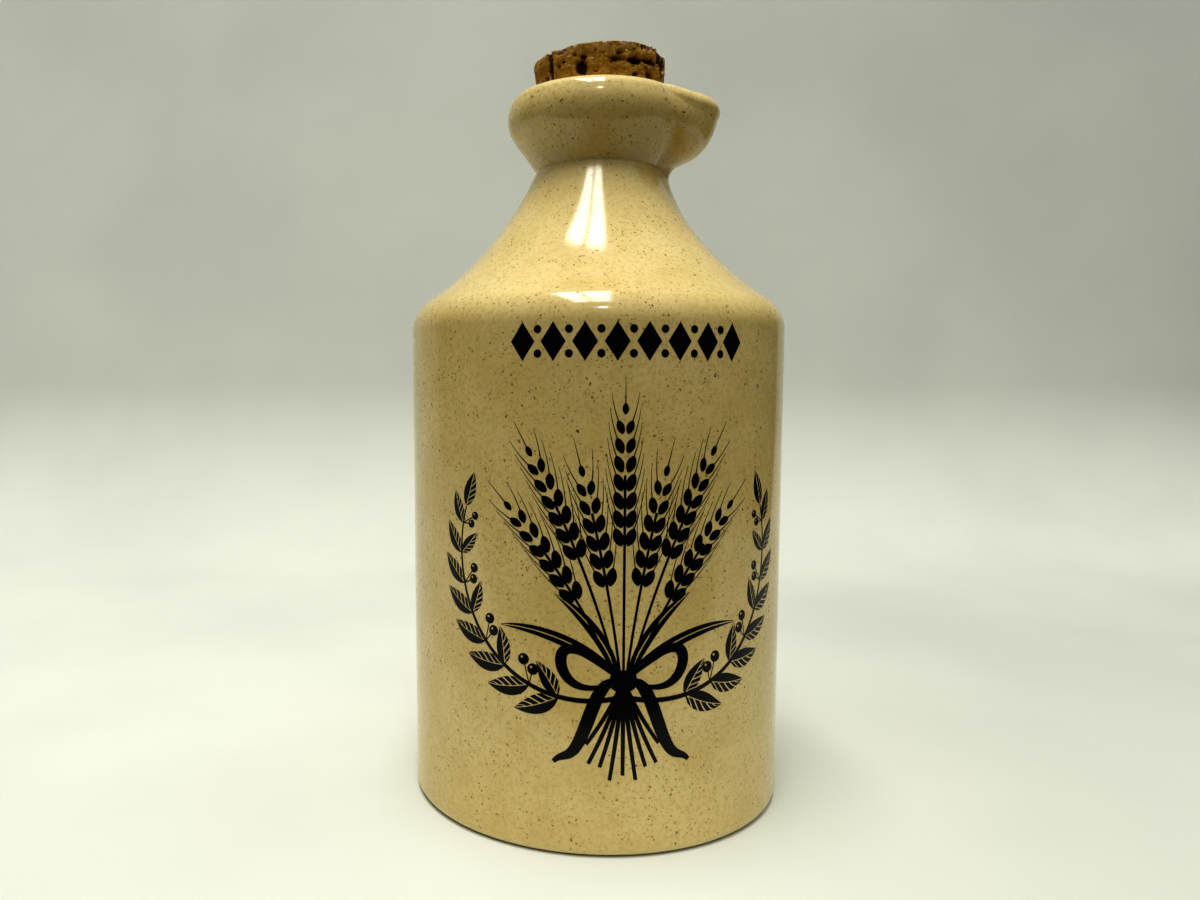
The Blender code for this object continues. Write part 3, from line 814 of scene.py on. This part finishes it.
def cork_material(colours):
    """Natural cork: brown grain in streaks, dark pits with painted shade deep in them, pale chipped grains at
    the worn edges that also paint the highlight along the upper edge.
    """
    material, nodes, shader, coords = new_material("natural_cork_bark")
    stretched = nodes.add("ShaderNodeMapping", {"Vector": coords, "Scale": (0.55, 0.55, 1.5)}).outputs[0]
    grain = nodes.noise(stretched, 620.0, 5.0, 0.62, 0.6)
    patch = nodes.noise(stretched, 170.0, 3.0, 0.5)
    base = nodes.mix(nodes.remap(grain, 0.34, 0.66), colours.cork_deep, colours.cork)
    base = nodes.mix(nodes.remap(patch, 0.52, 0.72, 0.0, 0.5), base, colours.cork_red)
    slant = {"Vector": coords, "Rotation": (0.0, 0.5, 0.0), "Scale": (1.0, 1.0, 0.16)}
    fibres = nodes.noise(nodes.add("ShaderNodeMapping", slant).outputs[0], 1500.0, 2.0, 0.6)
    base = nodes.mix(nodes.remap(fibres, 0.52, 0.70, 0.0, 0.55), base, colours.cork_deep)
    base = nodes.mix(nodes.remap(fibres, 0.42, 0.30, 0.0, 0.45), base, colours.cork_light)
    layers = (
        (1.3 * MM, 0.26, 0.25, 0.9, 0.8, colours.cork_pit),
        (3.2 * MM, 0.22, 0.20, 0.9, 0.9, colours.cork_pit),
        (1.3 * MM, 0.30, 0.22, 1.3, 0.75, colours.cork_pale),
    )
    base = add_specks(nodes, stretched, base, layers)
    flecks = nodes.remap(nodes.noise(stretched, 850.0, 3.0, 0.6), 0.63, 0.67, 0.0, 0.9)
    base = nodes.mix(flecks, base, colours.cork_pale)
    # The pits' own red-brown and dark colour, with painted shade that deepens with the depth of each hole
    depth = nodes.add("ShaderNodeAttribute", attribute_name="hole_depth").outputs["Fac"]
    base = nodes.mix(nodes.remap(depth, 0.02, 0.30, 0.0, 0.6), base, colours.cork_red)
    base = nodes.mix(nodes.remap(depth, 0.25, 0.75, 0.0, 0.93), base, colours.cork_pit)
    # Pale crumbs and a painted highlight along the upper broken edge
    edge = nodes.add("ShaderNodeAttribute", attribute_name="edge_crumbs_and_highlight").outputs["Fac"]
    crumbs = nodes.remap(nodes.noise(coords, 1100.0, 3.0, 0.6), 0.50, 0.60)
    base = nodes.mix(nodes.math("MULTIPLY", edge, crumbs), base, colours.cork_pale)
    normal = uneven_normal(nodes, coords, (1.3 * MM, 0.30 * MM), (0.5 * MM, 0.16 * MM))
    nodes.fill(shader, {"Base Color": base, "Normal": normal, "Roughness": 0.78, "Specular IOR Level": 0.3})
    return material


def add_value(mesh, name, rings):
    """Store one number for each vertex of a mesh from grid_mesh, whose poles come last."""
    values = np.concatenate([rings[1:-1].ravel(), rings[:1].mean(axis=1), rings[-1:].mean(axis=1)])
    mesh.attributes.new(name, "FLOAT", "POINT").data.foreach_set("value", values.astype(np.float32))


def colour_property(name, description, default):
    """A linear colour that a user can change."""
    return bpy.props.FloatVectorProperty(
        name=name, description=description, default=default, size=3, min=0.0, max=1.0, subtype="COLOR"
    )


class CruetColours(bpy.types.PropertyGroup):
    """The colours of the cruet's clay, print and cork, as linear values."""

    clay: colour_property("Clay", "Buff clay seen through the glaze", (0.80, 0.63, 0.295))
    clay_deep: colour_property("Deep clay", "Buff clay where the glaze lies thicker", (0.73, 0.56, 0.235))
    clay_shade: colour_property("Shaded clay", "Faint olive mottling in the clay", (0.54, 0.41, 0.135))
    clay_thin: colour_property("Thin glaze", "Cream clay where the glaze runs thin", (0.90, 0.78, 0.44))
    clay_bare: colour_property("Bare clay", "Unglazed clay under the foot", (0.60, 0.47, 0.30))
    speck_pale: colour_property("Pale specks", "The faintest specks", (0.42, 0.27, 0.030))
    speck_mid: colour_property("Middle specks", "Specks of middling brown", (0.19, 0.095, 0.003))
    speck_dark: colour_property("Dark specks", "The few dark iron specks", (0.065, 0.032, 0.006))
    ink: colour_property("Print", "Black fired print", (0.006, 0.006, 0.007))
    ink_worn: colour_property("Worn print", "Print where it is thin", (0.030, 0.022, 0.014))
    cork: colour_property("Cork", "Cork grain", (0.50, 0.285, 0.032))
    cork_deep: colour_property("Deep cork", "Darker cork grain", (0.30, 0.150, 0.012))
    cork_red: colour_property("Red cork", "Red-brown patches of the cork", (0.26, 0.090, 0.012))
    cork_light: colour_property("Light cork", "Light fibres in the cork", (0.72, 0.45, 0.085))
    cork_pit: colour_property("Cork pits", "The inside of the cork's pits", (0.022, 0.007, 0.003))
    # Also the colour of the painted highlight along the cork's upper edge
    cork_pale: colour_property("Cork crumbs", "Pale broken grains of cork", (0.74, 0.51, 0.33))


def length_property(name, description, default):
    """A length that a user can change."""
    return bpy.props.FloatProperty(
        name=name, description=description, default=default, min=0.0, unit="LENGTH"
    )


class CruetSizes(bpy.types.PropertyGroup):
    """Sizes and fineness that a user can change."""

    print_shift: length_property("Print shift", "How far the print lies right of the middle", 2.2 * MM)
    border_shift: length_property("Border shift", "How far the border lies right of the middle", 3.75 * MM)
    border_width: length_property("Border width", "Width of the border round the body", 52.5 * MM)
    border_height: length_property("Border height", "Height of the border's middle", 107.9 * MM)
    lozenge_height: length_property("Lozenge height", "Height of each lozenge in the border", 8.0 * MM)
    tie_height: length_property("Tie height", "Height of the bow that ties the sheaf", 38.0 * MM)
    columns: bpy.props.IntProperty(
        name="Columns", description="Columns round the bottle's surface", default=336, min=48, max=720
    )
    fineness: bpy.props.IntProperty(
        name="Fineness", description="Steps along each run of the bottle's profile", default=3, min=1, max=6
    )


class CRUET_OT_bottle(bpy.types.Operator):
    """Build the glazed stoneware bottle in place of the frame's bottle"""

    bl_idname = "cruet.bottle"
    bl_label = "Bottle"

    def execute(self, context):
        """Work out the surface, with closer columns over the spout, and give it the glaze."""
        sizes = context.scene.cruet_sizes
        dense = sizes.columns * 5 // 12
        over_spout = np.linspace(-SPOUT_SECTOR, SPOUT_SECTOR, dense + 1)
        rest = np.linspace(SPOUT_SECTOR, 2.0 * math.pi - SPOUT_SECTOR, sizes.columns - dense + 1)
        azimuths = np.concatenate([over_spout, rest[1:-1]])
        mesh = grid_mesh("stoneware_bottle", bottle_rings(azimuths, sizes.fineness))
        material = glaze_material(context.scene.cruet_colours)
        add_piece(mesh, material, "bottle")
        return {"FINISHED"}


class CRUET_OT_border(bpy.types.Operator):
    """Print the border of lozenges and dots below the shoulder"""

    bl_idname = "cruet.border"
    bl_label = "Printed border"

    def execute(self, context):
        """Draw eight lozenges with a pair of dots between neighbours."""
        sizes = context.scene.cruet_sizes
        ink = Ink()
        count = 8
        pitch = sizes.border_width / count
        half_height = 0.5 * sizes.lozenge_height
        for number in range(count):
            across = sizes.border_shift + (number - 0.5 * (count - 1)) * pitch
            lozenge(ink, (across, sizes.border_height), 0.40 * pitch, half_height)
            if number:
                for side in (-1.0, 1.0):
                    place = (across - 0.5 * pitch, sizes.border_height + side * 0.62 * half_height)
                    ink.blob(place, 0.85 * MM, 0.85 * MM)
        material = ink_material(context.scene.cruet_colours)
        add_piece(ink.mesh("printed_border"), material)
        return {"FINISHED"}


class CRUET_OT_ornament(bpy.types.Operator):
    """Print the ornament of a tied barley sheaf between two laurel branches"""

    bl_idname = "cruet.ornament"
    bl_label = "Printed ornament"

    def execute(self, context):
        """Draw the sheaf, the branches and the bow."""
        sizes = context.scene.cruet_sizes
        ink = Ink()
        tie = np.array([sizes.print_shift, sizes.tie_height])
        draw_sheaf(ink, tie)
        for mirror in (-1.0, 1.0):
            draw_branch(ink, tie, mirror)
        draw_bow(ink, tie)
        material = bpy.data.materials.get("black_print_ink") or ink_material(context.scene.cruet_colours)
        add_piece(ink.mesh("printed_ornament"), material)
        return {"FINISHED"}


class CRUET_OT_cork(bpy.types.Operator):
    """Build the worn cork in place of the frame's cork"""

    bl_idname = "cruet.cork"
    bl_label = "Cork"

    def execute(self, context):
        """Work out the surface, mark its pits and broken edge, and give it the cork finish."""
        rings, holes, edge = cork_surface()
        mesh = grid_mesh("tapered_cork", rings)
        add_value(mesh, "hole_depth", holes / MM)
        add_value(mesh, "edge_crumbs_and_highlight", edge)
        material = cork_material(context.scene.cruet_colours)
        add_piece(mesh, material, "cork")
        return {"FINISHED"}


def area_lamp(name, place, target, size, power):
    """A rectangular lamp that shines at a point."""
    data = bpy.data.lights.new(name, "AREA")
    data.shape = "RECTANGLE"
    data.size, data.size_y = size
    data.energy = power
    data.color = LAMP_COLOUR
    lamp = bpy.data.objects.new(name, data)
    lamp.location = place
    lamp.rotation_euler = (Vector(target) - lamp.location).to_track_quat("-Z", "Y").to_euler()
    bpy.context.scene.collection.objects.link(lamp)


def sweep_mesh():
    """A floor that curves up into a backdrop: a profile of line, quarter circle and line, widened."""
    turn = np.linspace(0.0, 0.5 * math.pi, 25)
    back, bend = SWEEP_BACK, SWEEP_BEND
    curve = np.stack([back - bend + bend * np.sin(turn), bend - bend * np.cos(turn)], axis=1)
    profile = np.concatenate([[[SWEEP_FRONT, 0.0]], curve, [[back, SWEEP_TOP]]])
    sides = [np.insert(profile, 0, x, axis=1) for x in (SWEEP_LEFT, SWEEP_RIGHT)]
    count = len(profile)
    index = np.arange(count - 1)
    faces = np.stack([index, index + count, index + count + 1, index + 1], axis=1)
    return new_mesh("studio_sweep", np.concatenate(sides).tolist(), faces.tolist())


def foreground_mesh():
    """Flat floor round the sweep on its open sides: three rectangles."""
    front, left, right, reach = SWEEP_FRONT, SWEEP_LEFT, SWEEP_RIGHT, FLOOR_REACH
    spans = ((-reach, reach, -reach, front), (-reach, left, front, reach), (right, reach, front, reach))
    corners = []
    for x0, x1, y0, y1 in spans:
        corners += [(x0, y0, 0.0), (x1, y0, 0.0), (x1, y1, 0.0), (x0, y1, 0.0)]
    faces = [tuple(range(start, start + 4)) for start in (0, 4, 8)]
    return new_mesh("studio_foreground", corners, faces)


def paper_material():
    """Pale matt paper, with painted shade on the cruet's right in front of the backdrop."""
    material, nodes, shader, coords = new_material("studio_paper")
    fibres = nodes.noise(coords, 9.0, 3.0, 0.5)
    paper = nodes.mix(nodes.remap(fibres, 0.3, 0.7), PAPER, PALE_PAPER)
    axes = nodes.add("ShaderNodeSeparateXYZ", {"Vector": coords}).outputs
    # Painted shade: the floor darkens towards the cruet's right and fades out towards the backdrop
    right_shade_share = nodes.remap(axes["X"], -0.02, 0.16, 0.0, 0.42)
    painted_shade = nodes.math("MULTIPLY", right_shade_share, nodes.remap(axes["Y"], 0.34, 0.12))
    paper = nodes.mix(painted_shade, paper, PAINTED_SHADE_PAPER)
    nodes.fill(shader, {"Base Color": paper, "Roughness": 0.9, "Specular IOR Level": 0.1})
    return material


def studio_air():
    """The room's light, which pales upwards, and an even tone where the camera sees past the paper."""
    world = bpy.data.worlds.new("studio_air")
    world.use_nodes = True
    air = Nodes(world.node_tree)
    generated = air.add("ShaderNodeTexCoord").outputs["Generated"]
    way = air.add("ShaderNodeSeparateXYZ", {0: generated}).outputs
    upward = air.math("ADD", air.math("MULTIPLY", way["X"], 0.08), air.math("MULTIPLY", way["Z"], 0.85))
    room = air.mix(air.remap(upward, 0.15, 0.80), LOW_AIR, HIGH_AIR)
    seen = air.add("ShaderNodeLightPath").outputs["Is Camera Ray"]
    air.fill(world.node_tree.nodes["Background"], {"Color": air.mix(seen, room, AIR_BEHIND)})
    return world


def studio_camera():
    """The camera, linked and in its place."""
    data = bpy.data.cameras.new("camera")
    data.lens, data.sensor_width = CAMERA_LENS, CAMERA_SENSOR
    data.shift_x, data.clip_start = CAMERA_SHIFT, CAMERA_NEAR
    camera = bpy.data.objects.new("camera", data)
    camera.location = CAMERA_PLACE
    camera.rotation_euler = (CAMERA_TILT, 0.0, 0.0)
    bpy.context.scene.collection.objects.link(camera)
    return camera


class CRUET_OT_studio(bpy.types.Operator):
    """Build the floor and backdrop, the lamps, the world and the camera"""

    bl_idname = "cruet.studio"
    bl_label = "Studio"

    def execute(self, context):
        """Set the stage as the photograph sees it."""
        scene = context.scene
        material = paper_material()
        sweep = link_mesh(sweep_mesh(), material)
        foreground = link_mesh(foreground_mesh(), material)
        foreground.visible_diffuse = False
        foreground.visible_glossy = False
        across, back, up = TUBES_PLACE
        for name, side in (("tube_left", -1.0), ("tube_right", 1.0)):
            over = across + side * TUBES_APART
            area_lamp(name, (over, back, up), (over, back, 0.0), TUBE_SIZE, TUBE_POWER)
        area_lamp("far_lamp", FAR_PLACE, FAR_TARGET, FAR_SIZE, FAR_POWER)
        scene.world = studio_air()
        scene.camera = studio_camera()
        scene.view_settings.view_transform = "Standard"
        scene.view_settings.look = "High Contrast"
        return {"FINISHED"}


class CRUET_PT_panel(bpy.types.Panel):
    """The cruet's sizes, colours and pieces"""

    bl_idname = "CRUET_PT_panel"
    bl_label = "Cruet"
    bl_space_type = "VIEW_3D"
    bl_region_type = "UI"
    bl_category = "Cruet"

    def draw(self, context):
        """List every size, colour and piece."""
        for group in (context.scene.cruet_sizes, context.scene.cruet_colours):
            column = self.layout.column()
            for name in group.bl_rna.properties.keys():
                if name not in {"rna_type", "name"}:
                    column.prop(group, name)
        for operator in OPERATORS:
            self.layout.operator(operator.bl_idname)


OPERATORS = (CRUET_OT_studio, CRUET_OT_bottle, CRUET_OT_border, CRUET_OT_ornament, CRUET_OT_cork)
CLASSES = (CruetColours, CruetSizes, *OPERATORS, CRUET_PT_panel)


def register():
    """Make the classes and the scene's settings known to Blender."""
    for kind in CLASSES:
        bpy.utils.register_class(kind)
    bpy.types.Scene.cruet_colours = bpy.props.PointerProperty(type=CruetColours)
    bpy.types.Scene.cruet_sizes = bpy.props.PointerProperty(type=CruetSizes)


def unregister():
    """Take the settings and classes away again."""
    del bpy.types.Scene.cruet_sizes
    del bpy.types.Scene.cruet_colours
    for kind in reversed(CLASSES):
        bpy.utils.unregister_class(kind)


def main():
    """Build the studio and every piece."""
    register()
    bpy.ops.cruet.studio()
    bpy.ops.cruet.bottle()
    bpy.ops.cruet.border()
    bpy.ops.cruet.ornament()
    bpy.ops.cruet.cork()


if __name__ == "__main__":
    main()
